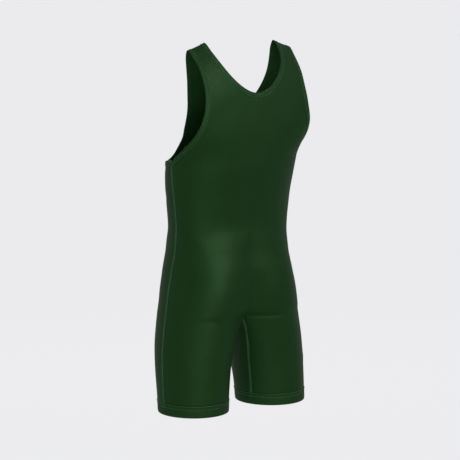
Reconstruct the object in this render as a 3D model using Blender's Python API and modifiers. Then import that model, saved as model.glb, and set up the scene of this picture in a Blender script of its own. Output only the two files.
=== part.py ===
"""Wrestling singlet, men's small to medium, worn form with no wearer. Metres, +Z up.

The origin lies midway between the two shoulder seams, level with the top of the straps,
where the singlet is held on its wearer.
The wearer faces -Y and the wearer's left side is +X. The outer face of every panel is one
form, set by the SECTIONS table; panels, bindings and leg bands are cut out of that form.
"""
import math

import bpy
import numpy as np

CM = 0.01

# ---------------------------------------------------------------- driving sizes (metres)
PANEL_WALL = 0.0018        # knit panel
BAND_WALL = 0.0024         # folded binding and hem band
BAND_PROUD = 0.0003        # how far a band stands out from the panel face
SEAM_GAP = 0.0009          # clear space between two pieces at a seam
BINDING_WIDTH = 0.012      # neck and armhole binding
LEG_BAND = 0.030           # elastic band at each leg opening
CROTCH_ROOM = 0.0025       # each panel stops this far from the point where four meet
SHOULDER_ROOM = 0.0013     # and this far from the shoulder line, where the cloth bends sharply
SHOULDER_SLOPE = 0.34      # fall of the strap per metre outward
SLOPE_START = 0.108        # where along x the fall starts
SHOULDER_DEPTH = 0.050     # the shoulder line lies this far behind the table's zero depth
COLUMNS = 10               # quads from the middle to the side, half a panel

# ---------------------------------------------------------------- the form, in centimetres
# z: height. x_*: half width of the back and front section curves. y_out: depth of the side seam.
# x_peak: where the section is deepest. back, front: depth there. x_in: inner face of the leg.
# y_in_*: depth at the middle line or at the inner face of the leg. square_*: corner exponent.
# round: 1 a round inner thigh, 0 a bridged middle. turn: degrees the inseam sits behind the
# innermost line of the leg.
SECTION_COLUMNS = ("z", "x_back", "x_front", "y_out", "x_peak", "back", "front", "x_in",
                   "y_in_b", "y_in_f", "square_b", "square_f", "round", "turn")
SECTIONS = [
    (-92.0, 20.9, 20.9, 2.2, 12.1, 11.2,  -6.8, 3.4,  2.2,   2.2, 2.0,  2.0,  1.0, 20),  # leg opening
    (-88.0, 21.0, 21.0, 1.8, 12.0, 11.2,  -7.2, 3.1,  1.9,   1.9, 2.0,  2.0,  1.0, 21),
    (-82.0, 20.9, 20.9, 1.2, 11.7, 11.2,  -8.4, 2.5,  1.7,   1.7, 2.0,  2.0,  1.0, 22),
    (-76.0, 20.5, 20.5, 0.7, 11.0, 11.3,  -9.6, 1.7,  2.9,   2.9, 2.0,  2.0,  1.0, 20),
    (-71.5, 19.8, 19.8, 0.3, 10.2, 11.5, -10.2, 0.9,  4.8,   4.8, 2.0,  2.0,  0.9, 14),
    (-68.5, 19.3, 19.3, 0.1,  9.6, 11.6, -10.4, 0.0,  7.2,   7.2, 2.0,  2.0,  0.6,  0),  # crotch
    (-66.5, 18.9, 18.9, 0.0,  9.2, 12.0, -10.5, 0.0,  9.4,  -3.6, 2.05, 2.0,  0.45, 0),
    (-62.0, 18.1, 18.1, -0.2, 8.0, 12.3, -10.6, 0.0, 10.6,  -8.6, 2.1,  2.1,  0.25, 0),
    (-57.0, 17.0, 17.0, -0.4, 6.8, 11.8, -10.7, 0.0, 11.2, -10.5, 2.2,  2.2,  0.05, 0),  # seat
    (-51.0, 16.2, 16.2, 0.2,  4.0, 10.6, -10.6, 0.0, 10.3, -10.6, 2.3,  2.3,  0.0,  0),
    (-45.0, 16.4, 16.4, 1.0,  0.0, 10.1, -10.2, 0.0, 10.1, -10.2, 2.35, 2.35, 0.0,  0),  # waist
    (-38.0, 16.9, 16.9, 0.7,  0.0, 11.2, -10.2, 0.0, 11.2, -10.2, 2.4,  2.4,  0.0,  0),
    (-28.8, 17.9, 17.9, 1.2,  0.0, 13.0,  -7.5, 0.0, 13.0,  -7.5, 2.5,  2.45, 0.0,  0),  # underarm
    (-22.0, 19.4, 16.6, 3.4,  0.0, 13.5,  -3.6, 0.0, 13.5,  -3.6, 3.5,  2.4,  0.0,  0),
    (-14.0, 21.0, 16.8, 4.2,  0.0, 12.9,   2.2, 0.0, 12.9,   2.2, 6.0,  2.4,  0.0,  0),
    (-7.0,  21.3, 17.8, 4.6,  0.0, 10.9,   3.7, 0.0, 10.9,   3.7, 8.0,  2.4,  0.0,  0),
    (-2.4,  20.5, 18.8, 4.8,  0.0,  7.9,   3.8, 0.0,  7.9,   3.8, 5.0,  2.5,  0.0,  0),
    (0.0,   19.4, 19.4, 4.8,  0.0,  5.0,   5.0, 0.0,  5.0,   5.0, 2.6,  2.6,  0.0,  0),  # shoulder
]
CROTCH, WAIST, UNDERARM, CREST = 5, 10, 12, len(SECTIONS) - 1

# edge of each armhole, from the side seam up to the shoulder: height and distance from the middle
ARMHOLE = {
    "back": [(-28.8, 17.9), (-27.2, 18.1), (-25.2, 18.15), (-22.9, 17.9), (-18.5, 16.85),
             (-14.2, 15.9), (-9.0, 15.4), (-4.2, 15.4), (0.0, 15.8)],
    "front": [(-28.8, 17.9), (-29.3, 16.7), (-29.3, 15.2), (-28.9, 13.6), (-27.6, 12.1),
              (-24.4, 11.3), (-21.5, 11.9), (-18.5, 12.85), (-15.0, 14.0), (-11.0, 14.75),
              (-6.0, 15.3), (0.0, 15.8)],
}
# edge of the neck: height of its lowest point, half width at the shoulder, roundness
NECK = {"back": (-13.9, 10.6, 1.65), "front": (-18.8, 10.6, 2.0)}

# rows of quads: leg band to crotch, crotch to waist, waist to underarm, across the chest, strap
LEG_STEPS = (1.6, 2.3, 3.0, 3.6, 4.1, 4.5, 4.8, 5.0)
HIP_STEPS = (5.2, 5.45, 5.75, 6.1, 6.6, 7.3, 8.0, 9.0)
WAIST_ROWS, CHEST_ROWS = 6, 6
STRAP_SHARES = tuple(k / 10 for k in range(10)) + (0.955, 0.985, 1.0)
STRAP_ROWS = len(STRAP_SHARES) - 1
CHEST_SHARE = 0.42         # share of the armhole that lies beside the chest rows
TOP_LAG = 0.065            # how much lower the underarm row runs at the middle
NECK_SAG = {"back": 0.14, "front": 0.22}   # how far rows hang under the neck, in stations

TABLE = {name: np.array([row[i] for row in SECTIONS], float)
         for i, name in enumerate(SECTION_COLUMNS)}
for name in SECTION_COLUMNS[:10]:
    TABLE[name] = TABLE[name] * CM


def smooth(stations, values, x, level_end=False):
    """Monotone cubic through a table column; level_end lets it flatten at the last row."""
    step = np.diff(stations)
    rise = np.diff(values) / step
    slope = np.zeros(len(stations))
    slope[0], slope[-1] = rise[0], 0.0 if level_end else rise[-1]
    for i in range(1, len(stations) - 1):
        if rise[i - 1] * rise[i] > 0:
            w1, w2 = 2 * step[i] + step[i - 1], step[i] + 2 * step[i - 1]
            slope[i] = (w1 + w2) / (w1 / rise[i - 1] + w2 / rise[i])
    i = np.clip(np.searchsorted(stations, x, side="right") - 1, 0, len(step) - 1)
    t = (x - stations[i]) / step[i]
    return ((1 + 2 * t) * (1 - t) ** 2 * values[i] + t * (1 - t) ** 2 * step[i] * slope[i]
            + t * t * (3 - 2 * t) * values[i + 1] + t * t * (t - 1) * step[i] * slope[i + 1])


INDEX = np.arange(len(SECTIONS), dtype=float)


def column(name, u):
    """Value of a table column at station u; the height levels out over the shoulder."""
    return smooth(INDEX, TABLE[name], np.asarray(u, float), level_end=name == "z")


FINE_U = np.linspace(0, CREST, 3401)
FINE_Z = column("z", FINE_U)


def station_of(z):
    return np.interp(z, FINE_Z, FINE_U)


def half_width(side, u):
    """Both sides share one side seam up to the underarm."""
    return np.where(u <= UNDERARM, column("x_front", u), column("x_" + side, u))


def inner_depth(side, u):
    """Both sides share one inseam below the crotch."""
    return np.where(u <= CROTCH, column("y_in_b", u), column("y_in_" + side[0], u))


def form(side, u, q):
    """Point of the outer form: u runs along the sections, q from the middle (0) to the side (1)."""
    u, q = np.broadcast_arrays(np.asarray(u, float), np.asarray(q, float))
    half, y_out, x_peak = half_width(side, u), column("y_out", u), column("x_peak", u)
    depth, x_in, y_in = column(side, u), column("x_in", u), inner_depth(side, u)
    across = column("front" if side == "back" else "back", u)
    power, rounded = column("square_" + side[0], u), column("round", u)
    turn = np.radians(column("turn", u)) * (1 if side == "back" else -1)
    inner_run = np.hypot(x_peak - x_in, depth - y_in) * (1 - turn / (math.pi / 2))
    outer_run = np.hypot(half - x_peak, depth - y_out)
    split = inner_run / (inner_run + outer_run)
    a = turn + (math.pi / 2 - turn) * np.where(q < split, q / np.maximum(split, 1e-9), 1.0)
    b = np.clip((q - split) / np.maximum(1 - split, 1e-9), 0, 1) * math.pi / 2
    c = np.cos(a)
    lift = rounded * np.sin(a) + (1 - rounded) * (1 + np.cos(math.pi * c)) / 2
    x_inner = x_peak - (x_peak - x_in) * c
    y_inner = y_in + np.where(lift > 0, (depth - y_in) * lift, (y_in - across) * lift)
    x_outer = x_peak + (half - x_peak) * np.sin(b) ** (2 / power)
    y_outer = y_out + (depth - y_out) * np.maximum(np.cos(b), 0) ** (2 / power)
    x = np.where(q < split, x_inner, x_outer)
    y = np.where(q < split, y_inner, y_outer)
    fade = np.clip((u - UNDERARM) / 4.0, 0, 1)
    fall = -SHOULDER_SLOPE * (x - SLOPE_START) * fade * fade * (3 - 2 * fade)
    return np.stack([x, y - SHOULDER_DEPTH, column("z", u) + fall], axis=-1)


def slopes(side, u, q, h=1e-3):
    """The two surface directions of the form at (u, q)."""
    u0, u1 = np.clip(u - h, 0, CREST), np.clip(u + h, 0, CREST)
    q0, q1 = np.clip(q - h, 0, 1), np.clip(q + h, 0, 1)
    along = (form(side, u1, q) - form(side, u0, q)) / (u1 - u0)[..., None]
    around = (form(side, u, q1) - form(side, u, q0)) / (q1 - q0)[..., None]
    return along, around


def unit(v):
    return v / np.linalg.norm(v, axis=-1, keepdims=True)


def outward(side, u, q):
    along, around = slopes(side, u, q)
    n = np.cross(around, along)
    return unit(n if side == "front" else -n)


def q_of(side, x, u):
    """q of the point at distance x from the middle, above the waist."""
    share = np.clip(x / half_width(side, u), 0, 1)
    return np.arcsin(share ** (column("square_" + side[0], u) / 2)) / (math.pi / 2)


def lengths(points):
    return np.concatenate([[0], np.cumsum(np.linalg.norm(np.diff(points, axis=0), axis=1))])


def at_shares(side, u, q, shares):
    """(u, q) at these shares of the length of a path on the form."""
    run = lengths(form(side, u, q))
    return np.interp(shares, run / run[-1], u), np.interp(shares, run / run[-1], q)


def armhole_edge(side):
    rows = np.array(ARMHOLE[side]) * CM
    station = np.arange(len(rows), dtype=float)
    t = np.linspace(0, len(rows) - 1, 601)
    u = station_of(smooth(station, rows[:, 0], t))
    u[0], u[-1] = UNDERARM, CREST
    q = q_of(side, smooth(station, rows[:, 1], t), u)
    q[0] = 1.0
    return u, q


def neck_edge(side):
    bottom, half, power = NECK[side]
    turn = np.linspace(0, math.pi / 2, 601)
    u = station_of(bottom * CM * np.cos(turn) ** (2 / power))
    u[-1] = CREST
    return u, q_of(side, half * CM * np.sin(turn) ** (2 / power), u)


def inset(side, u, q, width, away):
    """Move a path into the cloth by a width; away is +1 from the middle outward, -1 toward it."""
    path_u, path_q = u.copy(), q.copy()
    for _ in range(6):
        along, around = slopes(side, path_u, path_q)
        tangent = unit(np.gradient(form(side, path_u, path_q), axis=0))
        tangent[-1] = (0, 1 if side == "front" else -1, 0)
        if away > 0:
            tangent[0] = (1, 0, 0)
        across = unit(np.cross(outward(side, path_u, path_q), tangent))
        across = across * (-1 if side == "front" else 1) * away
        e, f, g = (along * along).sum(-1), (along * around).sum(-1), (around * around).sum(-1)
        da, dq = (across * along).sum(-1), (across * around).sum(-1)
        det = e * g - f * f
        step = width / 6
        path_u = np.clip(path_u + step * (g * da - f * dq) / det, 0, CREST)
        path_q = np.clip(path_q + step * (e * dq - f * da) / det, 0, 1)
    end_x = float(form(side, CREST, q[-1])[0]) + away * width / math.hypot(1, SHOULDER_SLOPE)
    path_u[-1], path_q[-1] = CREST, float(q_of(side, end_x, CREST))
    path_q[0] = q[0]
    if away < 0:
        path_u[0] = station_of(float(column("z", u[0])) - width)
    return path_u, path_q


def edges_of(side):
    """Sampled edge and seam paths of the neck and the armhole of one side."""
    strap = np.array(STRAP_SHARES)
    shares = np.concatenate([np.linspace(0, CHEST_SHARE, CHEST_ROWS + 1)[:-1],
                             CHEST_SHARE + (1 - CHEST_SHARE) * strap])
    arm = at_shares(side, *armhole_edge(side), shares)
    neck = at_shares(side, *neck_edge(side), strap)
    near, far = BINDING_WIDTH - SEAM_GAP / 2, BINDING_WIDTH + SEAM_GAP / 2
    return {"arm": arm, "arm_seam": inset(side, *arm, near, -1), "arm_cut": inset(side, *arm, far, -1),
            "neck": neck, "neck_seam": inset(side, *neck, near, +1), "neck_cut": inset(side, *neck, far, +1)}


def sweep(side, u_in, q_in, u_out, q_out, bend=1.0, sag=0.0):
    """Evenly spaced (u, q) along one row of a panel."""
    t = np.linspace(0, 1, 241)
    u = u_in + (u_out - u_in) * t ** bend - sag * np.sin(math.pi * t)
    return at_shares(side, u, q_in + (q_out - q_in) * t, np.linspace(0, 1, COLUMNS + 1))


def panel_rows(side, edges):
    band = float(station_of(SECTIONS[0][0] * CM + LEG_BAND))
    rows = [sweep(side, u, 0, u, 1) for u in (band,) + LEG_STEPS + HIP_STEPS]
    top_u = edges["arm_cut"][0][0]
    top_z = float(column("z", top_u))
    low = np.linspace(float(column("z", HIP_STEPS[-1])), top_z - TOP_LAG, WAIST_ROWS + 1)[1:]
    high = np.linspace(float(column("z", HIP_STEPS[-1])), top_z, WAIST_ROWS + 1)[1:]
    for k in range(WAIST_ROWS):
        bend = 1 + 2 * (k + 1) / WAIST_ROWS
        rows.append(sweep(side, station_of(low[k]), 0, station_of(high[k]), 1, bend))
    neck_u, neck_q = edges["neck_cut"]
    arm_u, arm_q = edges["arm_cut"]
    middle = np.linspace(low[-1], float(column("z", neck_u[0])), CHEST_ROWS + 1)
    for k in range(1, CHEST_ROWS + 1):
        share = k / CHEST_ROWS
        rows.append(sweep(side, station_of(middle[k]), 0, arm_u[k], arm_q[k],
                          3 - 2 * share, NECK_SAG[side] * share ** 2))
    for k in range(1, STRAP_ROWS + 1):
        j = k + CHEST_ROWS
        rows.append(sweep(side, neck_u[k], neck_q[k], arm_u[j], arm_q[j], 1,
                          NECK_SAG[side] * (1 - STRAP_SHARES[k]) ** 6))
    return rows


def cloth(name, points, faces, wall, proud, mirrored, material, collection):
    """Open surface given a wall on its inner side; proud is how much of it stands outside."""
    mesh = bpy.data.meshes.new(name)
    mesh.from_pydata([tuple(p) for p in points], [], faces)
    mesh.materials.append(material)
    mesh.shade_smooth()
    body = bpy.data.objects.new(name, mesh)
    collection.objects.link(body)
    if mirrored:
        half = body.modifiers.new("other_half", "MIRROR")
        half.use_axis = (True, False, False)
        half.merge_threshold = 0.0001
    skin = body.modifiers.new("wall", "SOLIDIFY")
    skin.thickness = wall
    skin.offset = 2 * proud / wall - 1
    return body


def grid_faces(rows, columns, flip, around=False):
    """Quads of a grid of points; around closes each row on itself."""
    faces = []
    for r in range(rows - 1):
        for c in range(columns if around else columns - 1):
            d = (c + 1) % columns
            quad = (r * columns + c, r * columns + d, (r + 1) * columns + d, (r + 1) * columns + c)
            faces.append(quad[::-1] if flip else quad)
    return faces


def panel(name, side, edges, material, collection):
    """Half a panel from leg band to shoulder, mirrored to the whole."""
    rows = panel_rows(side, edges)
    crotch_row = len(LEG_STEPS)
    underarm_row = crotch_row + len(HIP_STEPS) + WAIST_ROWS
    neck_row = underarm_row + CHEST_ROWS
    face = np.array([form(side, u, q) for u, q in rows])
    for r in range(underarm_row + 1):
        face[r, -1] += unit(face[r, -2] - face[r, -1]) * SEAM_GAP / 2
        if r <= crotch_row:
            room = np.interp(r, (crotch_row - 5, crotch_row), (SEAM_GAP / 2, CROTCH_ROOM))
            face[r, 0] += unit(face[r, 1] - face[r, 0]) * room
    face[0] += unit(face[1] - face[0]) * SEAM_GAP / 2
    face[-1] += unit(face[-2] - face[-1]) * SHOULDER_ROOM
    face[crotch_row:neck_row + 1, 0, 0] = 0.0
    faces = grid_faces(len(rows), COLUMNS + 1, flip=side == "back")
    return cloth(name, face.reshape(-1, 3), faces, PANEL_WALL, 0, True, material, collection)


def over_shoulder(edges, key):
    """A path up the front to the shoulder and down the back."""
    front = form("front", *edges["front"][key])
    back = form("back", *edges["back"][key])
    return np.vstack([front[:-1], back[::-1]])


def armhole_band(name, hand, edges, material, collection):
    loops = np.array([over_shoulder(edges, key)[:-1] for key in ("arm", "arm_seam")])
    faces = grid_faces(2, loops.shape[1], flip=hand < 0, around=True)
    points = loops.reshape(-1, 3) * (hand, 1, 1)
    return cloth(name, points, faces, BAND_WALL, BAND_PROUD, False, material, collection)


def neck_band(name, edges, material, collection):
    strips = np.array([over_shoulder(edges, key) for key in ("neck", "neck_seam")])
    strips[:, (0, -1), 0] = 0.0
    faces = grid_faces(2, strips.shape[1], flip=True)
    return cloth(name, strips.reshape(-1, 3), faces, BAND_WALL, BAND_PROUD, True,
                 material, collection)


def leg_band(name, hand, material, collection):
    low = SECTIONS[0][0] * CM
    loops = []
    for z in np.linspace(low, low + LEG_BAND - SEAM_GAP / 2, 3):
        u = float(station_of(z))
        back, front = (form(side, *sweep(side, u, 0, u, 1)) for side in ("back", "front"))
        loops.append(np.vstack([back, front[-2:0:-1]]))
    loops = np.array(loops)
    faces = grid_faces(3, loops.shape[1], flip=hand > 0, around=True)
    points = loops.reshape(-1, 3) * (hand, 1, 1)
    return cloth(name, points, faces, BAND_WALL, BAND_PROUD, False, material, collection)


def knit_material(name, colour, roughness):
    material = bpy.data.materials.new(name)
    material.use_nodes = True
    shader = material.node_tree.nodes["Principled BSDF"]
    shader.inputs["Base Color"].default_value = (*colour, 1)
    shader.inputs["Roughness"].default_value = roughness
    shader.inputs["Metallic"].default_value = 0.0
    return material


def main():
    for old in list(bpy.data.objects):
        bpy.data.objects.remove(old, do_unlink=True)
    collection = bpy.data.collections.new("wrestling_singlet")
    bpy.context.scene.collection.children.link(collection)
    knit = knit_material("stretch_knit", (0.012, 0.034, 0.012), 0.45)
    trim = knit_material("binding_knit", (0.013, 0.036, 0.013), 0.5)

    edges = {side: edges_of(side) for side in ("back", "front")}
    panel("back_panel", "back", edges["back"], knit, collection)
    panel("front_panel", "front", edges["front"], knit, collection)
    neck_band("neck_binding", edges, trim, collection)
    for hand, word in ((1, "left"), (-1, "right")):
        armhole_band("armhole_binding_" + word, hand, edges, trim, collection)
        leg_band("leg_band_" + word, hand, trim, collection)


main()
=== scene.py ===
"""Looks of the wrestling singlet: stretch-knit panels, rolled bindings, hem bands, stitching."""
import math

import bmesh
import bpy
import numpy as np
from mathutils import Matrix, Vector


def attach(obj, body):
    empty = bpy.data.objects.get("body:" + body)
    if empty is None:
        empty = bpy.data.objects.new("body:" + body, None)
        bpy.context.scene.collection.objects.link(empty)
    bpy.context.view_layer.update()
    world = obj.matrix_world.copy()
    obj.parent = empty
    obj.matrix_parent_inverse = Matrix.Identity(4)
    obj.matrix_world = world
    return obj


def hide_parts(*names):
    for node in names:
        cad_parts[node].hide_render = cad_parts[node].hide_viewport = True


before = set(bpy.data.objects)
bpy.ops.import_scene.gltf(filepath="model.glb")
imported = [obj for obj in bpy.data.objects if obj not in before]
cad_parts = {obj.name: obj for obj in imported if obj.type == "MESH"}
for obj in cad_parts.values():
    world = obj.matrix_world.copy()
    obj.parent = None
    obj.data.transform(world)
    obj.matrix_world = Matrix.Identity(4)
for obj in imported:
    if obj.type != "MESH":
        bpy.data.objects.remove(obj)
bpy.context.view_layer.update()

CM = 0.01

# ---------------------------------------------------------------- sizes (metres)
CLOTH = 0.0011             # knit thickness that shows
BINDING_WIDTH = 0.012      # neck and armhole binding
LEG_BAND = 0.030           # hem band at each leg opening
SHOULDER_SLOPE = 0.34      # fall of the strap per metre outward
SLOPE_START = 0.108        # where along x the fall starts
SHOULDER_DEPTH = 0.050     # the shoulder line lies this far behind the table's zero depth

# ---------------------------------------------------------------- the CAD form, in centimetres
SECTION_COLUMNS = ("z", "x_back", "x_front", "y_out", "x_peak", "back", "front", "x_in",
                   "y_in_b", "y_in_f", "square_b", "square_f", "round", "turn")
SECTIONS = [
    (-92.0, 20.9, 20.9, 2.2, 12.1, 11.2,  -6.8, 3.4,  2.2,   2.2, 2.0,  2.0,  1.0, 20),  # leg opening
    (-88.0, 21.0, 21.0, 1.8, 12.0, 11.2,  -7.2, 3.1,  1.9,   1.9, 2.0,  2.0,  1.0, 21),
    (-82.0, 20.9, 20.9, 1.2, 11.7, 11.2,  -8.4, 2.5,  1.7,   1.7, 2.0,  2.0,  1.0, 22),
    (-76.0, 20.5, 20.5, 0.7, 11.0, 11.3,  -9.6, 1.7,  2.9,   2.9, 2.0,  2.0,  1.0, 20),
    (-71.5, 19.8, 19.8, 0.3, 10.2, 11.5, -10.2, 0.9,  4.8,   4.8, 2.0,  2.0,  0.9, 14),
    (-68.5, 19.3, 19.3, 0.1,  9.6, 11.6, -10.4, 0.0,  7.2,   7.2, 2.0,  2.0,  0.6,  0),  # crotch
    (-66.5, 18.9, 18.9, 0.0,  9.2, 12.0, -10.5, 0.0,  9.4,  -3.6, 2.05, 2.0,  0.45, 0),
    (-62.0, 18.1, 18.1, -0.2, 8.0, 12.3, -10.6, 0.0, 10.6,  -8.6, 2.1,  2.1,  0.25, 0),
    (-57.0, 17.0, 17.0, -0.4, 6.8, 11.8, -10.7, 0.0, 11.2, -10.5, 2.2,  2.2,  0.05, 0),  # seat
    (-51.0, 16.2, 16.2, 0.2,  4.0, 10.6, -10.6, 0.0, 10.3, -10.6, 2.3,  2.3,  0.0,  0),
    (-45.0, 16.4, 16.4, 1.0,  0.0, 10.1, -10.2, 0.0, 10.1, -10.2, 2.35, 2.35, 0.0,  0),  # waist
    (-38.0, 16.9, 16.9, 0.7,  0.0, 11.2, -10.2, 0.0, 11.2, -10.2, 2.4,  2.4,  0.0,  0),
    (-28.8, 17.9, 17.9, 1.2,  0.0, 13.0,  -7.5, 0.0, 13.0,  -7.5, 2.5,  2.45, 0.0,  0),  # underarm
    (-22.0, 19.4, 16.6, 3.4,  0.0, 13.5,  -3.6, 0.0, 13.5,  -3.6, 3.5,  2.4,  0.0,  0),
    (-14.0, 21.0, 16.8, 4.2,  0.0, 12.9,   2.2, 0.0, 12.9,   2.2, 6.0,  2.4,  0.0,  0),
    (-7.0,  21.3, 17.8, 4.6,  0.0, 10.9,   3.7, 0.0, 10.9,   3.7, 8.0,  2.4,  0.0,  0),
    (-2.4,  20.5, 18.8, 4.8,  0.0,  7.9,   3.8, 0.0,  7.9,   3.8, 5.0,  2.5,  0.0,  0),
    (0.0,   19.4, 19.4, 4.8,  0.0,  5.0,   5.0, 0.0,  5.0,   5.0, 2.6,  2.6,  0.0,  0),  # shoulder
]
CROTCH, WAIST, UNDERARM, CREST = 5, 10, 12, len(SECTIONS) - 1
ARMHOLE = {
    "back": [(-28.8, 17.9), (-27.2, 18.1), (-25.2, 18.15), (-22.9, 17.9), (-18.5, 16.85),
             (-14.2, 15.9), (-9.0, 15.4), (-4.2, 15.4), (0.0, 15.8)],
    "front": [(-28.8, 17.9), (-29.3, 16.7), (-29.3, 15.2), (-28.9, 13.6), (-27.6, 12.1),
              (-24.4, 11.3), (-21.5, 11.9), (-18.5, 12.85), (-15.0, 14.0), (-11.0, 14.75),
              (-6.0, 15.3), (0.0, 15.8)],
}
NECK = {"back": (-13.9, 10.6, 1.65), "front": (-18.8, 10.6, 2.0)}
CHEST_SHARE = 0.42
TOP_LAG = 0.065
NECK_SAG = {"back": 0.14, "front": 0.22}

TABLE = {name: np.array([row[i] for row in SECTIONS], float)
         for i, name in enumerate(SECTION_COLUMNS)}
for name in SECTION_COLUMNS[:10]:
    TABLE[name] = TABLE[name] * CM


def smooth(stations, values, x, level_end=False):
    """Monotone cubic through a table column; level_end lets it flatten at the last row."""
    step = np.diff(stations)
    rise = np.diff(values) / step
    slope = np.zeros(len(stations))
    slope[0], slope[-1] = rise[0], 0.0 if level_end else rise[-1]
    for i in range(1, len(stations) - 1):
        if rise[i - 1] * rise[i] > 0:
            w1, w2 = 2 * step[i] + step[i - 1], step[i] + 2 * step[i - 1]
            slope[i] = (w1 + w2) / (w1 / rise[i - 1] + w2 / rise[i])
    i = np.clip(np.searchsorted(stations, x, side="right") - 1, 0, len(step) - 1)
    t = (x - stations[i]) / step[i]
    return ((1 + 2 * t) * (1 - t) ** 2 * values[i] + t * (1 - t) ** 2 * step[i] * slope[i]
            + t * t * (3 - 2 * t) * values[i + 1] + t * t * (t - 1) * step[i] * slope[i + 1])


INDEX = np.arange(len(SECTIONS), dtype=float)


def column(name, u):
    return smooth(INDEX, TABLE[name], np.asarray(u, float), level_end=name == "z")


FINE_U = np.linspace(0, CREST, 3401)
FINE_Z = column("z", FINE_U)


def station_of(z):
    return np.interp(z, FINE_Z, FINE_U)


def half_width(side, u):
    return np.where(u <= UNDERARM, column("x_front", u), column("x_" + side, u))


def inner_depth(side, u):
    return np.where(u <= CROTCH, column("y_in_b", u), column("y_in_" + side[0], u))


def form(side, u, q):
    """Point of the CAD's outer form: u along the sections, q from the middle (0) to the side (1)."""
    u, q = np.broadcast_arrays(np.asarray(u, float), np.asarray(q, float))
    half, y_out, x_peak = half_width(side, u), column("y_out", u), column("x_peak", u)
    depth, x_in, y_in = column(side, u), column("x_in", u), inner_depth(side, u)
    across = column("front" if side == "back" else "back", u)
    power, rounded = column("square_" + side[0], u), column("round", u)
    turn = np.radians(column("turn", u)) * (1 if side == "back" else -1)
    inner_run = np.hypot(x_peak - x_in, depth - y_in) * (1 - turn / (math.pi / 2))
    outer_run = np.hypot(half - x_peak, depth - y_out)
    split = inner_run / (inner_run + outer_run)
    a = turn + (math.pi / 2 - turn) * np.where(q < split, q / np.maximum(split, 1e-9), 1.0)
    b = np.clip((q - split) / np.maximum(1 - split, 1e-9), 0, 1) * math.pi / 2
    c = np.cos(a)
    lift = rounded * np.sin(a) + (1 - rounded) * (1 + np.cos(math.pi * c)) / 2
    x_inner = x_peak - (x_peak - x_in) * c
    y_inner = y_in + np.where(lift > 0, (depth - y_in) * lift, (y_in - across) * lift)
    x_outer = x_peak + (half - x_peak) * np.sin(b) ** (2 / power)
    y_outer = y_out + (depth - y_out) * np.maximum(np.cos(b), 0) ** (2 / power)
    x = np.where(q < split, x_inner, x_outer)
    y = np.where(q < split, y_inner, y_outer)
    fade = np.clip((u - UNDERARM) / 4.0, 0, 1)
    fall = -SHOULDER_SLOPE * (x - SLOPE_START) * fade * fade * (3 - 2 * fade)
    return np.stack([x, y - SHOULDER_DEPTH, column("z", u) + fall], axis=-1)


def slopes(side, u, q, h=1e-3):
    u0, u1 = np.clip(u - h, 0, CREST), np.clip(u + h, 0, CREST)
    q0, q1 = np.clip(q - h, 0, 1), np.clip(q + h, 0, 1)
    along = (form(side, u1, q) - form(side, u0, q)) / (u1 - u0)[..., None]
    around = (form(side, u, q1) - form(side, u, q0)) / (q1 - q0)[..., None]
    return along, around


def unit(v):
    return v / np.maximum(np.linalg.norm(v, axis=-1, keepdims=True), 1e-12)


def outward(side, u, q):
    along, around = slopes(side, u, q)
    n = np.cross(around, along)
    return unit(n if side == "front" else -n)


def q_of(side, x, u):
    share = np.clip(x / half_width(side, u), 0, 1)
    return np.arcsin(share ** (column("square_" + side[0], u) / 2)) / (math.pi / 2)


def lengths(points):
    return np.concatenate([[0], np.cumsum(np.linalg.norm(np.diff(points, axis=0), axis=1))])


def at_shares(side, u, q, shares):
    run = lengths(form(side, u, q))
    return np.interp(shares, run / run[-1], u), np.interp(shares, run / run[-1], q)


def armhole_edge(side):
    rows = np.array(ARMHOLE[side]) * CM
    station = np.arange(len(rows), dtype=float)
    t = np.linspace(0, len(rows) - 1, 1201)
    u = station_of(smooth(station, rows[:, 0], t))
    u[0], u[-1] = UNDERARM, CREST
    q = q_of(side, smooth(station, rows[:, 1], t), u)
    q[0] = 1.0
    return u, q


def neck_edge(side):
    bottom, half, power = NECK[side]
    turn = np.linspace(0, math.pi / 2, 1201)
    u = station_of(bottom * CM * np.cos(turn) ** (2 / power))
    u[-1] = CREST
    return u, q_of(side, half * CM * np.sin(turn) ** (2 / power), u)


def inset(side, u, q, width, away):
    """Move a path into the cloth by a width; away is +1 from the middle outward, -1 toward it."""
    if away > 0:
        return inset_from_middle(side, u, q, width)
    path_u, path_q = u.copy(), q.copy()
    for _ in range(6):
        along, around = slopes(side, path_u, path_q)
        tangent = unit(np.gradient(form(side, path_u, path_q), axis=0))
        tangent[-1] = (0, 1 if side == "front" else -1, 0)
        across = unit(np.cross(outward(side, path_u, path_q), tangent))
        across = across * (1 if side == "front" else -1)
        e, f, g = (along * along).sum(-1), (along * around).sum(-1), (around * around).sum(-1)
        da, dq = (across * along).sum(-1), (across * around).sum(-1)
        det = e * g - f * f
        step = width / 6
        path_u = np.clip(path_u + step * (g * da - f * dq) / det, 0, CREST)
        path_q = np.clip(path_q + step * (e * dq - f * da) / det, 0, 1)
    end_x = float(form(side, CREST, q[-1])[0]) - width / math.hypot(1, SHOULDER_SLOPE)
    path_u[-1], path_q[-1] = CREST, float(q_of(side, end_x, CREST))
    path_q[0] = q[0]
    path_u[0] = station_of(float(column("z", u[0])) - width)
    return path_u, path_q


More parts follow.
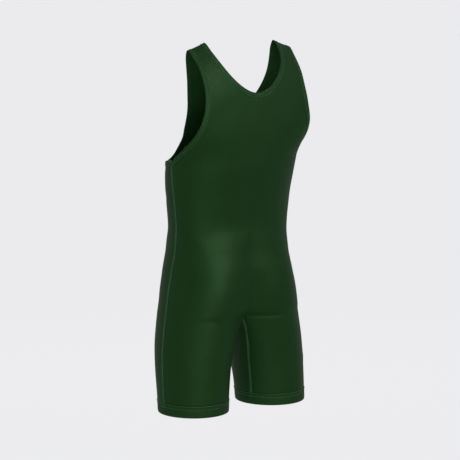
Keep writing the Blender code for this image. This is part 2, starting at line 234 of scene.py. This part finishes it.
def inset_from_middle(side, u, q, width):
    """The same for the neck, in x and not in q, because q crowds at the middle of a flat back."""
    path_u, path_x = u.copy(), form(side, u, q)[:, 0]

    def at(station, x):
        return form(side, station, q_of(side, x, station))

    for _ in range(6):
        u0, u1 = np.clip(path_u - 1e-3, 0, CREST), np.clip(path_u + 1e-3, 0, CREST)
        x0, x1 = np.maximum(path_x - 5e-4, 0), path_x + 5e-4
        along = (at(u1, path_x) - at(u0, path_x)) / (u1 - u0)[:, None]
        around = (at(path_u, x1) - at(path_u, x0)) / (x1 - x0)[:, None]
        normal = unit(np.cross(around, along)) * (1 if side == "front" else -1)
        tangent = unit(np.gradient(at(path_u, path_x), axis=0))
        tangent[0], tangent[-1] = (1, 0, 0), (0, 1 if side == "front" else -1, 0)
        across = unit(np.cross(normal, tangent)) * (-1 if side == "front" else 1)
        e, f, g = (along * along).sum(-1), (along * around).sum(-1), (around * around).sum(-1)
        da, dx = (across * along).sum(-1), (across * around).sum(-1)
        det = e * g - f * f
        step = width / 6
        path_u = np.clip(path_u + step * (g * da - f * dx) / det, 0, CREST)
        path_x = np.maximum(path_x + step * (e * dx - f * da) / det, 0)
        path_x[0] = 0.0
    path_u[-1] = CREST
    path_x[-1] = float(form(side, CREST, q[-1])[0]) + width / math.hypot(1, SHOULDER_SLOPE)
    return path_u, q_of(side, path_x, path_u)


# ---------------------------------------------------------------- how the cloth lies
# Soft folds placed on each side: start and end as (station, q), half width in metres,
# height in metres (below zero a trough), how far the middle of the fold bows, in stations.
FOLDS = {
    "back": [
        # small of the back: shallow cross folds where the body hollows
        ((10.3, -0.30), (9.9, 0.62), 0.0170, -0.0008, -0.25),
        ((10.9, 0.10), (10.6, 0.80), 0.0190, 0.0007, -0.20),
        ((9.35, 0.25), (9.6, 0.86), 0.0160, -0.0006, 0.10),
        # from the side of the seat up and in
        ((8.1, 0.98), (9.2, 0.52), 0.0150, 0.0006, 0.15),
        ((7.4, 0.92), (8.5, 0.55), 0.0160, -0.0005, 0.12),
        # from the underarm toward the middle
        ((12.05, 0.93), (12.7, 0.45), 0.0180, 0.0008, -0.20),
        ((12.35, 0.90), (13.3, 0.50), 0.0170, -0.0006, -0.15),
        ((11.6, 0.95), (11.9, 0.55), 0.0180, -0.0006, -0.10),
        # under the neck
        ((14.4, -0.05), (13.8, 0.42), 0.0220, 0.0003, -0.30),
        ((13.2, 0.05), (12.9, 0.35), 0.0240, -0.0005, -0.15),
        # seat crease, and the fold under it
        ((5.02, -0.06), (4.98, 0.46), 0.0050, -0.0018, 0.02),
        ((5.45, 0.10), (5.35, 0.58), 0.0130, 0.0010, 0.05),
        ((4.70, 0.02), (4.66, 0.46), 0.0090, 0.0009, 0.03),
        # above the hem
        ((1.9, 0.35), (2.2, 0.85), 0.0120, 0.0007, 0.08),
        ((1.2, 0.20), (1.5, 0.60), 0.0110, -0.0006, 0.06),
    ],
    "front": [
        ((10.5, -0.25), (10.1, 0.70), 0.0110, -0.0010, -0.20),
        ((9.7, 0.05), (9.4, 0.80), 0.0120, 0.0008, -0.15),
        ((11.2, 0.30), (11.0, 0.90), 0.0110, -0.0008, -0.12),
        # from the crotch out to the hips
        ((5.6, 0.12), (6.6, 0.80), 0.0080, -0.0014, 0.25),
        ((5.9, 0.10), (7.2, 0.72), 0.0100, 0.0011, 0.20),
        ((5.3, 0.18), (5.7, 0.84), 0.0085, 0.0010, 0.15),
        ((4.8, 0.20), (4.9, 0.75), 0.0090, -0.0009, 0.10),
        # from the underarm toward the chest
        ((12.0, 0.93), (12.8, 0.40), 0.0110, 0.0010, -0.20),
        ((12.5, 0.62), (13.3, 0.20), 0.0120, -0.0008, -0.15),
        ((11.7, 0.96), (12.0, 0.50), 0.0120, -0.0009, -0.10),
        ((2.0, 0.30), (2.3, 0.80), 0.0120, 0.0007, 0.08),
        ((1.3, 0.25), (1.5, 0.70), 0.0110, -0.0006, 0.06),
    ],
}
# The two halves aren't twins: each fold's height is scaled by these, wearer's left and right.
FOLD_BIAS = {1: (1.0, 0.7, 1.15, 0.85), -1: (0.8, 1.1, 0.75, 1.05)}
SEAT_CREASE = (10, 11, 12)     # these of the back folds are nearly flat on the wearer's left


def fold_lift(side, hand, u, q, points):
    """Height of the cloth over the form from the folds near each point."""
    lift = np.zeros(u.shape)
    for k, (start, end, width, height, bow) in enumerate(FOLDS[side]):
        t = np.linspace(0, 1, 25)
        bias = FOLD_BIAS[hand][k % 4]
        if side == "back" and k in SEAT_CREASE:
            bias = 0.12 if hand > 0 else 1.0
        fu = start[0] + (end[0] - start[0]) * t + bow * bias * np.sin(math.pi * t)
        fq = start[1] + (end[1] - start[1]) * t
        line = form(side, fu, np.abs(fq)) * np.stack([np.sign(fq + 1e-9), t * 0 + 1, t * 0 + 1], -1)
        near = np.full(u.shape, 1e9)
        share = np.zeros(u.shape)
        for i in range(len(t) - 1):
            seg = line[i + 1] - line[i]
            s = np.clip(((points - line[i]) @ seg) / (seg @ seg), 0, 1)
            d = np.linalg.norm(points - line[i] - s[..., None] * seg, axis=-1)
            closer = d < near
            near = np.where(closer, d, near)
            share = np.where(closer, (i + s) / (len(t) - 1), share)
        swell = np.sin(math.pi * np.clip(share, 0, 1)) ** 0.7
        uneven = 1 + 0.3 * np.sin(7.0 * share + 1.7 * k + hand)
        wide = width * (0.75 + 0.5 * share)
        lift += height * bias * swell * uneven * np.exp(-(near / wide) ** 2)
    return lift


def cloth_point(side, hand, u, q, proud=0.0):
    """Point of the cloth's outer face at rest, on the wearer's left (hand 1) or right (-1)."""
    base = form(side, u, q)
    normal = outward(side, u, q)
    lift = fold_lift(side, hand, u, q, base)
    out = base + normal * (lift + proud)[..., None]
    return out * (hand, 1, 1), normal * (hand, 1, 1)


# ---------------------------------------------------------------- panels
COLUMNS = 64
LEG_ROWS, HIP_ROWS, WAIST_ROWS, CHEST_ROWS, STRAP_ROWS = 62, 58, 56, 40, 56


def sweep(side, u_in, q_in, u_out, q_out, bend=1.0, sag=0.0):
    t = np.linspace(0, 1, 321)
    u = u_in + (u_out - u_in) * t ** bend - sag * np.sin(math.pi * t)
    return at_shares(side, u, q_in + (q_out - q_in) * t, np.linspace(0, 1, COLUMNS + 1))


def strap_shares():
    """Even steps up the strap, closer where it turns over the shoulder."""
    t = np.linspace(0, 1, STRAP_ROWS + 1)
    return 1 - (1 - t) ** 1.35


def edge_shares():
    return np.concatenate([np.linspace(0, CHEST_SHARE, CHEST_ROWS + 1)[:-1],
                           CHEST_SHARE + (1 - CHEST_SHARE) * strap_shares()])


def panel_grid(side):
    """(u, q) of the panel's rows, from the top of the leg band to the shoulder."""
    arm = inset(side, *at_shares(side, *armhole_edge(side), edge_shares()), BINDING_WIDTH, -1)
    neck = inset(side, *at_shares(side, *neck_edge(side), strap_shares()), BINDING_WIDTH, +1)
    band = float(station_of(SECTIONS[0][0] * CM + LEG_BAND))
    stations = np.concatenate([np.linspace(band, CROTCH, LEG_ROWS + 1),
                               np.linspace(CROTCH, 9.0, HIP_ROWS + 1)[1:]])
    rows = [sweep(side, u, 0, u, 1) for u in stations]
    top_z = float(column("z", arm[0][0]))
    low = np.linspace(float(column("z", 9.0)), top_z - TOP_LAG, WAIST_ROWS + 1)[1:]
    high = np.linspace(float(column("z", 9.0)), top_z, WAIST_ROWS + 1)[1:]
    for k in range(WAIST_ROWS):
        bend = 1 + 2 * (k + 1) / WAIST_ROWS
        rows.append(sweep(side, station_of(low[k]), 0, station_of(high[k]), 1, bend))
    middle = np.linspace(low[-1], float(column("z", neck[0][0])), CHEST_ROWS + 1)
    for k in range(1, CHEST_ROWS + 1):
        share = k / CHEST_ROWS
        rows.append(sweep(side, station_of(middle[k]), 0, arm[0][k], arm[1][k],
                          3 - 2 * share, NECK_SAG[side] * share ** 2))
    shares = strap_shares()
    for k in range(1, STRAP_ROWS + 1):
        j = k + CHEST_ROWS
        rows.append(sweep(side, neck[0][k], neck[1][k], arm[0][j], arm[1][j], 1,
                          NECK_SAG[side] * (1 - shares[k]) ** 6))
    return np.array([r[0] for r in rows]), np.array([r[1] for r in rows])


def make_mesh(name, points, faces, uvs=None, material=None):
    mesh = bpy.data.meshes.new(name)
    mesh.from_pydata([tuple(p) for p in points], [], faces)
    if uvs is not None:
        layer = mesh.uv_layers.new(name="UVMap")
        index = np.zeros(len(mesh.loops), dtype=np.int32)
        mesh.loops.foreach_get("vertex_index", index)
        layer.data.foreach_set("uv", np.asarray(uvs, np.float32)[index].ravel())
    mesh.shade_smooth()
    if material:
        mesh.materials.append(material)
    piece = bpy.data.objects.new(name, mesh)
    bpy.context.scene.collection.objects.link(piece)
    return piece


def add_quads(faces, a, flip=False):
    """Quads over a grid of vertex numbers."""
    for r in range(a.shape[0] - 1):
        for c in range(a.shape[1] - 1):
            quad = (int(a[r, c]), int(a[r, c + 1]), int(a[r + 1, c + 1]), int(a[r + 1, c]))
            faces.append(quad[::-1] if flip else quad)


def weld(points, uvs, faces, tolerance=2e-5):
    """Join points that lie on each other, so that the middle line is one row."""
    keys = {}
    remap = np.zeros(len(points), dtype=int)
    kept = []
    for i, p in enumerate(np.round(points / tolerance).astype(int)):
        key = tuple(p)
        if key not in keys:
            keys[key] = len(kept)
            kept.append(i)
        remap[i] = keys[key]
    new_faces = []
    for face in faces:
        ring = [int(remap[i]) for i in face]
        ring = [v for k, v in enumerate(ring) if v != ring[k - 1]]
        if len(set(ring)) >= 3 and len(ring) == len(set(ring)):
            new_faces.append(ring)
    return points[kept], uvs[kept], new_faces


def panel(side, material):
    """One panel as a thin closed shell: outer face, inner face and the cut edge between them."""
    u, q = panel_grid(side)
    crotch_row = LEG_ROWS
    points, uvs, faces = [], [], []
    count = 0
    for hand in (1, -1):
        outer, normal = cloth_point(side, hand, u, q)
        # the middle line is shared by both halves above the crotch
        outer[crotch_row:LEG_ROWS + HIP_ROWS + WAIST_ROWS + CHEST_ROWS + 1, 0, 0] = 0.0
        if hand == 1:
            middle = outer[:, 0].copy()
        else:
            rows = slice(crotch_row, LEG_ROWS + HIP_ROWS + WAIST_ROWS + CHEST_ROWS + 1)
            outer[rows, 0] = middle[rows]
        inner = outer - normal * CLOTH
        inner[crotch_row:LEG_ROWS + HIP_ROWS + WAIST_ROWS + CHEST_ROWS + 1, 0, 0] = 0.0
        run = np.cumsum(np.concatenate([np.zeros((len(u), 1)),
                                        np.linalg.norm(np.diff(outer, axis=1), axis=-1)], 1), 1)
        rise = np.cumsum(np.concatenate([[0], np.linalg.norm(
            np.diff(outer[:, COLUMNS // 2], axis=0), axis=-1)]))
        flat = np.stack([run * hand, np.repeat(rise[:, None], COLUMNS + 1, 1)], -1)
        size = u.size
        grid = np.arange(size).reshape(u.shape)
        flip = (hand == 1) == (side == "back")
        points += [outer.reshape(-1, 3), inner.reshape(-1, 3)]
        uvs += [flat.reshape(-1, 2), flat.reshape(-1, 2)]
        add_quads(faces, grid + count, flip)
        add_quads(faces, grid + count + size, not flip)
        rim = [grid[0], grid[:, -1], grid[-1][::-1]]
        neck_row = LEG_ROWS + HIP_ROWS + WAIST_ROWS + CHEST_ROWS
        rim.append(grid[neck_row:, 0][::-1])
        rim.append(grid[:crotch_row + 1, 0][::-1])
        for line in rim:
            add_quads(faces, np.stack([line + count + size, line + count]), flip)
        count += 2 * size
    points, uvs, faces = weld(np.vstack(points), np.vstack(uvs), faces)
    piece = make_mesh(side + "_panel_cloth", points, faces, uvs, material)
    return piece


# ---------------------------------------------------------------- bindings and bands
def over_shoulder(hand, paths, proud=0.0):
    """Points and normals of a path up the front to the shoulder and down the back."""
    front, fn = cloth_point("front", hand, *paths["front"], proud)
    back, bn = cloth_point("back", hand, *paths["back"], proud)
    return np.vstack([front[:-1], back[::-1]]), np.vstack([fn[:-1], bn[::-1]])


def edge_paths(kind, width):
    away = -1 if kind == "arm" else 1
    found = {}
    for side in ("back", "front"):
        edge = armhole_edge(side) if kind == "arm" else neck_edge(side)
        shares = np.linspace(0, 1, 261)
        path = at_shares(side, *edge, shares)
        found[side] = inset(side, *path, width, away) if width > 0 else path
    return found


def strip_profile(width, wall, proud, roll):
    """Closed section of a rolled binding: (distance from the edge, height over the form)."""
    top = proud
    low = proud - wall
    mid = (top + low) / 2
    half = wall / 2
    section = [(width, top - 0.0004), (width - 0.0006, top), (width * 0.75, top + 0.00015),
               (width * 0.5, top + 0.00005), (width * 0.28, top + 0.0002)]
    for k in range(0, 7):
        a = math.pi / 2 - math.pi * k / 6
        section.append((roll - math.cos(a) * roll, mid + math.sin(a) * (half + 0.0002)))
    section += [(width * 0.3, low), (width * 0.6, low), (width, low)]
    return section


def binding(name, kind, hand, material):
    """Folded binding: a closed section carried along the edge of the neck or an armhole."""
    section = strip_profile(BINDING_WIDTH + 0.0004, 0.0022, 0.0007, 0.0010)
    cache = {}
    loops, flat = [], []
    for width, height in section:
        key = round(width, 6)
        if key not in cache:
            paths = edge_paths(kind, max(width, 0))
            if kind == "arm":
                p, n = over_shoulder(hand, paths)
                cache[key] = (p[:-1], n[:-1])
            else:
                pl, nl = over_shoulder(1, paths)
                pr, nr = over_shoulder(-1, paths)
                cache[key] = (np.vstack([pl, pr[::-1][1:-1]]), np.vstack([nl, nr[::-1][1:-1]]))
        p, n = cache[key]
        loops.append(p + n * height)
        run = lengths(p)
        flat.append(np.stack([run, np.full(len(run), width)], -1))
    loops, flat = np.array(loops), np.array(flat)
    rows, cols = loops.shape[:2]
    grid = np.arange(rows * cols).reshape(rows, cols)
    grid = np.vstack([grid, grid[:1]])
    grid = np.hstack([grid, grid[:, :1]])
    faces = []
    add_quads(faces, grid, flip=(kind == "arm") == (hand > 0))
    return make_mesh(name, loops.reshape(-1, 3), faces, flat.reshape(-1, 2), material)


def leg_loop(hand, z, proud):
    u = float(station_of(z))
    parts, normals = [], []
    for side in ("back", "front"):
        t = np.linspace(0, 1, 321)
        su, sq = at_shares(side, np.full(321, u), t, np.linspace(0, 1, 121))
        p, n = cloth_point(side, hand, su, sq)
        p = p + n * proud
        parts.append(p if side == "back" else p[::-1][1:-1])
        normals.append(n if side == "back" else n[::-1][1:-1])
    return np.vstack(parts), np.vstack(normals)


def leg_band(name, hand, material):
    low = SECTIONS[0][0] * CM
    section = [(LEG_BAND + 0.0002, 0.0002), (LEG_BAND - 0.0004, 0.0008), (LEG_BAND - 0.003, 0.0009),
               (0.022, 0.0004), (0.020, 0.0003), (0.018, 0.0007), (0.012, 0.0009), (0.006, 0.0009),
               (0.003, 0.0008), (0.0010, 0.0005), (0.0002, -0.0003), (0.0, -0.0009),
               (0.0003, -0.0016), (0.0012, -0.0020), (0.010, -0.0020), (0.020, -0.0020),
               (LEG_BAND, -0.0018)]
    loops, flat = [], []
    for height, proud in section:
        p, n = leg_loop(hand, low + height, proud)
        loops.append(p)
        run = lengths(p)
        flat.append(np.stack([run, np.full(len(run), height)], -1))
    loops, flat = np.array(loops), np.array(flat)
    rows, cols = loops.shape[:2]
    grid = np.arange(rows * cols).reshape(rows, cols)
    grid = np.vstack([grid, grid[:1]])
    grid = np.hstack([grid, grid[:, :1]])
    faces = []
    add_quads(faces, grid, flip=hand < 0)
    return make_mesh(name, loops.reshape(-1, 3), faces, flat.reshape(-1, 2), material)


# ---------------------------------------------------------------- stitches
def resample(points, normals, pitch, closed=False):
    if closed:
        points = np.vstack([points, points[:1]])
        normals = np.vstack([normals, normals[:1]])
    run = lengths(points)
    n = max(4, int(round(run[-1] / pitch)))
    at = np.linspace(0, run[-1], n + 1)
    p = np.stack([np.interp(at, run, points[:, k]) for k in range(3)], -1)
    m = unit(np.stack([np.interp(at, run, normals[:, k]) for k in range(3)], -1))
    return p, m


def stitch_between(points, faces, a, b, na, nb, radius, rise):
    """One raised thread from a to b, thick in the middle, its ends sunk in the cloth."""
    sides, rings = 5, 5
    d = b - a
    length = np.linalg.norm(d, axis=-1, keepdims=True)
    d = d / length
    n = unit(na + nb)
    side = unit(np.cross(d, n))
    up = np.cross(side, d)
    count = len(a)
    start = sum(len(p) for p in points)
    rows = []
    for r in range(rings):
        t = r / (rings - 1)
        bulge = math.sin(math.pi * t)
        centre = a + (b - a) * t + n * (rise * (0.15 + 0.85 * bulge) - radius * 0.6)
        thick = radius * (0.55 + 0.45 * bulge)
        ring = [centre + (side * math.cos(2 * math.pi * s / sides)
                          + up * math.sin(2 * math.pi * s / sides)) * thick for s in range(sides)]
        rows.append(np.stack(ring, 1))
    block = np.stack(rows, 1).reshape(-1, 3)
    points.append(block)
    for i in range(count):
        base = start + i * rings * sides
        for r in range(rings - 1):
            for s in range(sides):
                s2 = (s + 1) % sides
                faces.append((base + r * sides + s, base + r * sides + s2,
                              base + (r + 1) * sides + s2, base + (r + 1) * sides + s))
        faces.append(tuple(base + s for s in range(sides))[::-1])
        faces.append(tuple(base + (rings - 1) * sides + s for s in range(sides)))


def stitch_row(points, faces, line, normals, pitch=0.0034, gap=0.16, radius=0.00038, rise=0.00045,
               closed=False):
    p, n = resample(line, normals, pitch, closed)
    a = p[:-1] + (p[1:] - p[:-1]) * gap / 2
    b = p[:-1] + (p[1:] - p[:-1]) * (1 - gap / 2)
    stitch_between(points, faces, a, b, n[:-1], n[1:], radius, rise)


def zigzag(points, faces, left, right, nl, nr, radius=0.00030, rise=0.00050):
    """Cover thread that crosses from one needle row to the other and back."""
    k = min(len(left), len(right))
    stitch_between(points, faces, left[:k - 1], right[:k - 1] * 0.5 + right[1:k] * 0.5,
                   nl[:k - 1], nr[:k - 1], radius, rise)
    stitch_between(points, faces, right[:k - 1] * 0.5 + right[1:k] * 0.5, left[1:k],
                   nr[:k - 1], nl[1:k], radius, rise)


def seam_line(side, hand, u, offset, inner):
    """Points beside the side seam (or the inseam), offset into this panel."""
    q_edge = np.full(len(u), 0.0 if inner else 1.0)
    base, normal = cloth_point(side, hand, u, q_edge)
    step = 0.004
    if inner:
        other, _ = cloth_point(side, hand, u, q_edge + step)
    else:
        other, _ = cloth_point(side, hand, u, q_edge - step)
    return base + unit(other - base) * offset, normal


def flat_seam(name, hand, u, inner, material):
    """Flatlock seam: a slightly raised tape of cover thread over the join of the two panels."""
    half = 0.0023
    lines = {}
    for side in ("back", "front"):
        lines[side] = seam_line(side, hand, u, half, inner)
    points, faces = [], []
    pitch = 0.0032
    back, bn = resample(*lines["back"], pitch)
    n = len(back)
    run = lengths(lines["front"][0])
    at = np.linspace(0, run[-1], n)
    front = np.stack([np.interp(at, run, lines["front"][0][:, k]) for k in range(3)], -1)
    fn = unit(np.stack([np.interp(at, run, lines["front"][1][:, k]) for k in range(3)], -1))
    mid_n = unit(bn + fn)
    stitch_row(points, faces, back, bn, pitch, radius=0.00042, rise=0.00055)
    stitch_row(points, faces, front, fn, pitch, radius=0.00042, rise=0.00055)
    zigzag(points, faces, back + mid_n * 0.0001, front + mid_n * 0.0001, mid_n, mid_n)
    return make_mesh(name, np.vstack(points), faces, None, material)


def edge_rows(name, kind, hand, offsets, material):
    points, faces = [], []
    for offset, proud in offsets:
        paths = edge_paths(kind, offset)
        if kind == "arm":
            p, n = over_shoulder(hand, paths, proud)
            p, n = p[:-1], n[:-1]
        else:
            pl, nl = over_shoulder(1, paths, proud)
            pr, nr = over_shoulder(-1, paths, proud)
            p, n = np.vstack([pl, pr[::-1][1:-1]]), np.vstack([nl, nr[::-1][1:-1]])
        stitch_row(points, faces, p, n, closed=True)
    return make_mesh(name, np.vstack(points), faces, None, material)


def hem_rows(name, hand, heights, material):
    points, faces = [], []
    for height, proud in heights:
        p, n = leg_loop(hand, SECTIONS[0][0] * CM + height, proud)
        stitch_row(points, faces, p, n, closed=True)
    return make_mesh(name, np.vstack(points), faces, None, material)


# ---------------------------------------------------------------- materials
def knit(name, colour, wale=0.00095, course=0.00075, roughness=0.42, sheen=0.03, bump=0.30):
    """Fine warp knit: wales and courses from the piece's flat map, with a mottled sheen and painted
    shade in the low loops.
    """
    material = bpy.data.materials.new(name)
    material.use_nodes = True
    tree = material.node_tree
    link = tree.links.new
    shader = tree.nodes["Principled BSDF"]
    shader.inputs["Metallic"].default_value = 0.0
    shader.inputs["Sheen Weight"].default_value = sheen
    shader.inputs["Sheen Roughness"].default_value = 0.45
    shader.inputs["Sheen Tint"].default_value = (0.35, 0.85, 0.42, 1)
    shader.inputs["Specular IOR Level"].default_value = 0.20
    shader.inputs["Specular Tint"].default_value = (0.60, 1.0, 0.60, 1)
    flat = tree.nodes.new("ShaderNodeUVMap")
    flat.uv_map = "UVMap"
    split = tree.nodes.new("ShaderNodeSeparateXYZ")
    link(flat.outputs["UV"], split.inputs["Vector"])

    def wave(socket, period):
        turn = tree.nodes.new("ShaderNodeMath")
        turn.operation = "MULTIPLY"
        turn.inputs[1].default_value = 2 * math.pi / period
        link(socket, turn.inputs[0])
        sine = tree.nodes.new("ShaderNodeMath")
        sine.operation = "SINE"
        link(turn.outputs[0], sine.inputs[0])
        return sine.outputs[0]

    across, along = wave(split.outputs["X"], wale), wave(split.outputs["Y"], course)
    loop = tree.nodes.new("ShaderNodeMath")
    loop.operation = "MULTIPLY_ADD"
    link(across, loop.inputs[0])
    link(along, loop.inputs[1])
    link(across, loop.inputs[2])
    relief = tree.nodes.new("ShaderNodeBump")
    relief.inputs["Strength"].default_value = bump
    relief.inputs["Distance"].default_value = 0.00012
    link(loop.outputs[0], relief.inputs["Height"])
    link(relief.outputs["Normal"], shader.inputs["Normal"])

    place = tree.nodes.new("ShaderNodeTexCoord")
    cloud = tree.nodes.new("ShaderNodeTexNoise")
    cloud.inputs["Scale"].default_value = 9.0
    cloud.inputs["Detail"].default_value = 4.0
    link(place.outputs["Object"], cloud.inputs["Vector"])
    gloss = tree.nodes.new("ShaderNodeMapRange")
    gloss.inputs["To Min"].default_value = roughness - 0.06
    gloss.inputs["To Max"].default_value = roughness + 0.08
    link(cloud.outputs["Fac"], gloss.inputs["Value"])
    link(gloss.outputs["Result"], shader.inputs["Roughness"])

    shade = tree.nodes.new("ShaderNodeMix")
    shade.data_type = "RGBA"
    shade.inputs[6].default_value = (*[c * 0.90 for c in colour], 1)
    shade.inputs[7].default_value = (*[c * 1.12 for c in colour], 1)
    link(cloud.outputs["Fac"], shade.inputs[0])
    # painted shade: the colour follows the knit's relief, darker where the loops are low and a little
    # lighter where they are high
    painted_groove_shade = tree.nodes.new("ShaderNodeMix")
    painted_groove_shade.data_type = "RGBA"
    painted_groove_shade.blend_type = "MULTIPLY"
    painted_groove_shade.inputs[0].default_value = 1.0
    relief_shade = tree.nodes.new("ShaderNodeMapRange")
    relief_shade.inputs["From Min"].default_value = -2.0
    relief_shade.inputs["From Max"].default_value = 2.0
    relief_shade.inputs["To Min"].default_value = 0.86
    relief_shade.inputs["To Max"].default_value = 1.10
    link(loop.outputs[0], relief_shade.inputs["Value"])
    link(shade.outputs[2], painted_groove_shade.inputs[6])
    link(relief_shade.outputs["Result"], painted_groove_shade.inputs[7])
    link(painted_groove_shade.outputs[2], shader.inputs["Base Color"])
    return material


def thread(name, colour):
    material = bpy.data.materials.new(name)
    material.use_nodes = True
    tree = material.node_tree
    shader = tree.nodes["Principled BSDF"]
    shader.inputs["Roughness"].default_value = 0.5
    shader.inputs["Sheen Weight"].default_value = 0.3
    place = tree.nodes.new("ShaderNodeTexCoord")
    grain = tree.nodes.new("ShaderNodeTexNoise")
    grain.inputs["Scale"].default_value = 260.0
    tree.links.new(place.outputs["Object"], grain.inputs["Vector"])
    mix = tree.nodes.new("ShaderNodeMix")
    mix.data_type = "RGBA"
    mix.inputs[6].default_value = (*[c * 0.75 for c in colour], 1)
    mix.inputs[7].default_value = (*[c * 1.25 for c in colour], 1)
    tree.links.new(grain.outputs["Fac"], mix.inputs[0])
    tree.links.new(mix.outputs[2], shader.inputs["Base Color"])
    return material


BODY = knit("singlet_knit", (0.0120, 0.0580, 0.0120))
TRIM = knit("singlet_trim", (0.0130, 0.0620, 0.0135), wale=0.0012, course=0.0009,
            roughness=0.48, bump=0.45)
THREAD = thread("singlet_thread", (0.060, 0.230, 0.080))

panels = {}
for side in ("front", "back"):
    panels[side] = panel(side, BODY)
    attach(panels[side], "root")
    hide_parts(side + "_panel")

neck = binding("neck_binding_cloth", "neck", 1, TRIM)
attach(neck, "root")
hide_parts("neck_binding")
trims = {"neck": neck}
for hand, word in ((1, "left"), (-1, "right")):
    arm = binding("armhole_binding_%s_cloth" % word, "arm", hand, TRIM)
    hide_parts("armhole_binding_" + word)
    leg = leg_band("leg_band_%s_cloth" % word, hand, TRIM)
    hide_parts("leg_band_" + word)
    for piece in (arm, leg):
        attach(piece, "root")
    trims["arm_" + word], trims["leg_" + word] = arm, leg

EDGE_ROWS = [(0.0058, 0.0009), (0.0112, 0.0009)]
HEM_ROWS = [(0.0212, 0.0006), (0.0288, 0.0011)]
stitches = {"neck": edge_rows("neck_stitching", "neck", 1, EDGE_ROWS, THREAD)}
seam_top = TABLE["z"][UNDERARM] - BINDING_WIDTH - 0.001
side_u = np.linspace(float(station_of(-0.92 + 0.001)), float(station_of(seam_top)), 700)
inner_u = np.linspace(float(station_of(-0.92 + 0.001)), CROTCH, 260)
for hand, word in ((1, "left"), (-1, "right")):
    stitches["arm_" + word] = edge_rows("armhole_stitching_" + word, "arm", hand, EDGE_ROWS, THREAD)
    stitches["leg_" + word] = hem_rows("hem_stitching_" + word, hand, HEM_ROWS, THREAD)
    stitches["side_" + word] = flat_seam("side_seam_" + word, hand, side_u, False, THREAD)
    stitches["in_" + word] = flat_seam("inseam_" + word, hand, inner_u, True, THREAD)
for piece in stitches.values():
    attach(piece, "root")


# ---------------------------------------------------------------- camera
scene = bpy.context.scene
AZIMUTH, ELEVATION, DISTANCE = 143.0, 8.2, 5.3
FOCAL_SHARE = 2100 / 460
TARGET = Vector((-0.010, -0.050, -0.4765))
az, el = math.radians(AZIMUTH), math.radians(ELEVATION)
away = Vector((math.sin(az) * math.cos(el), -math.cos(az) * math.cos(el), math.sin(el)))
camera = bpy.data.objects.new("camera", bpy.data.cameras.new("camera"))
camera.data.sensor_width = 36
camera.data.lens = 36 * FOCAL_SHARE
camera.data.clip_end = 400.0
camera.location = TARGET + away * DISTANCE
camera.rotation_mode = "QUATERNION"
camera.rotation_quaternion = (-away).to_track_quat("-Z", "Y")
scene.collection.objects.link(camera)
scene.camera = camera

# ---------------------------------------------------------------- studio
def area_light(name, azimuth, elevation, distance, size, power, diffuse=True, gloss=True):
    data = bpy.data.lights.new(name, "AREA")
    data.shape = "DISK"
    data.size = size
    data.energy = power
    lamp = bpy.data.objects.new(name, data)
    a, e = math.radians(azimuth), math.radians(elevation)
    direction = Vector((math.sin(a) * math.cos(e), -math.cos(a) * math.cos(e), math.sin(e)))
    centre = Vector((0, 0, -0.46))
    lamp.location = centre + direction * distance
    lamp.rotation_mode = "QUATERNION"
    lamp.rotation_quaternion = (-direction).to_track_quat("-Z", "Y")
    lamp.visible_camera = False
    lamp.visible_diffuse = diffuse
    lamp.visible_glossy = gloss
    scene.collection.objects.link(lamp)
    return lamp


area_light("key", 176, 25, 3.4, 1.9, 66, diffuse=False)
area_light("strap", 205, 46, 3.4, 1.3, 22, diffuse=False)
area_light("low", 139, -24, 2.0, 0.5, 3, diffuse=False)
area_light("fill", 145, 10, 4.0, 2.0, 34, gloss=False)
area_light("front", -28, 22, 3.8, 2.0, 44)
area_light("side", -80, 12, 3.8, 2.0, 14, gloss=False)

floor_mesh = bpy.data.meshes.new("floor")
S = 60.0
floor_mesh.from_pydata([(-S, -S, -1.42), (S, -S, -1.42), (S, S, -1.42), (-S, S, -1.42)], [],
                       [(0, 1, 2, 3)])
floor = bpy.data.objects.new("floor", floor_mesh)
scene.collection.objects.link(floor)
paper = bpy.data.materials.new("floor_paper")
paper.use_nodes = True
surface = paper.node_tree.nodes["Principled BSDF"]
surface.inputs["Base Color"].default_value = (0.03, 0.03, 0.031, 1)
surface.inputs["Roughness"].default_value = 1.0
surface.inputs["Specular IOR Level"].default_value = 0.0
surface.inputs["Emission Color"].default_value = (1.0, 1.0, 1.018, 1)
surface.inputs["Emission Strength"].default_value = 0.820
floor_mesh.materials.append(paper)
floor.visible_diffuse = False
floor.visible_glossy = False

# the same pale paper all round, seen by the camera only
dome_mesh = bpy.data.meshes.new("backdrop")
shell = bmesh.new()
bmesh.ops.create_uvsphere(shell, u_segments=48, v_segments=24, radius=30.0)
shell.to_mesh(dome_mesh)
shell.free()
dome_mesh.materials.append(paper)
dome = bpy.data.objects.new("backdrop", dome_mesh)
scene.collection.objects.link(dome)
dome.visible_diffuse = dome.visible_glossy = dome.visible_shadow = False

world = bpy.data.worlds.new("studio")
world.use_nodes = True
world.node_tree.nodes["Background"].inputs["Color"].default_value = (1.0, 1.0, 1.0, 1)
world.node_tree.nodes["Background"].inputs["Strength"].default_value = 0.28
scene.world = world
scene.view_settings.view_transform = "Standard"
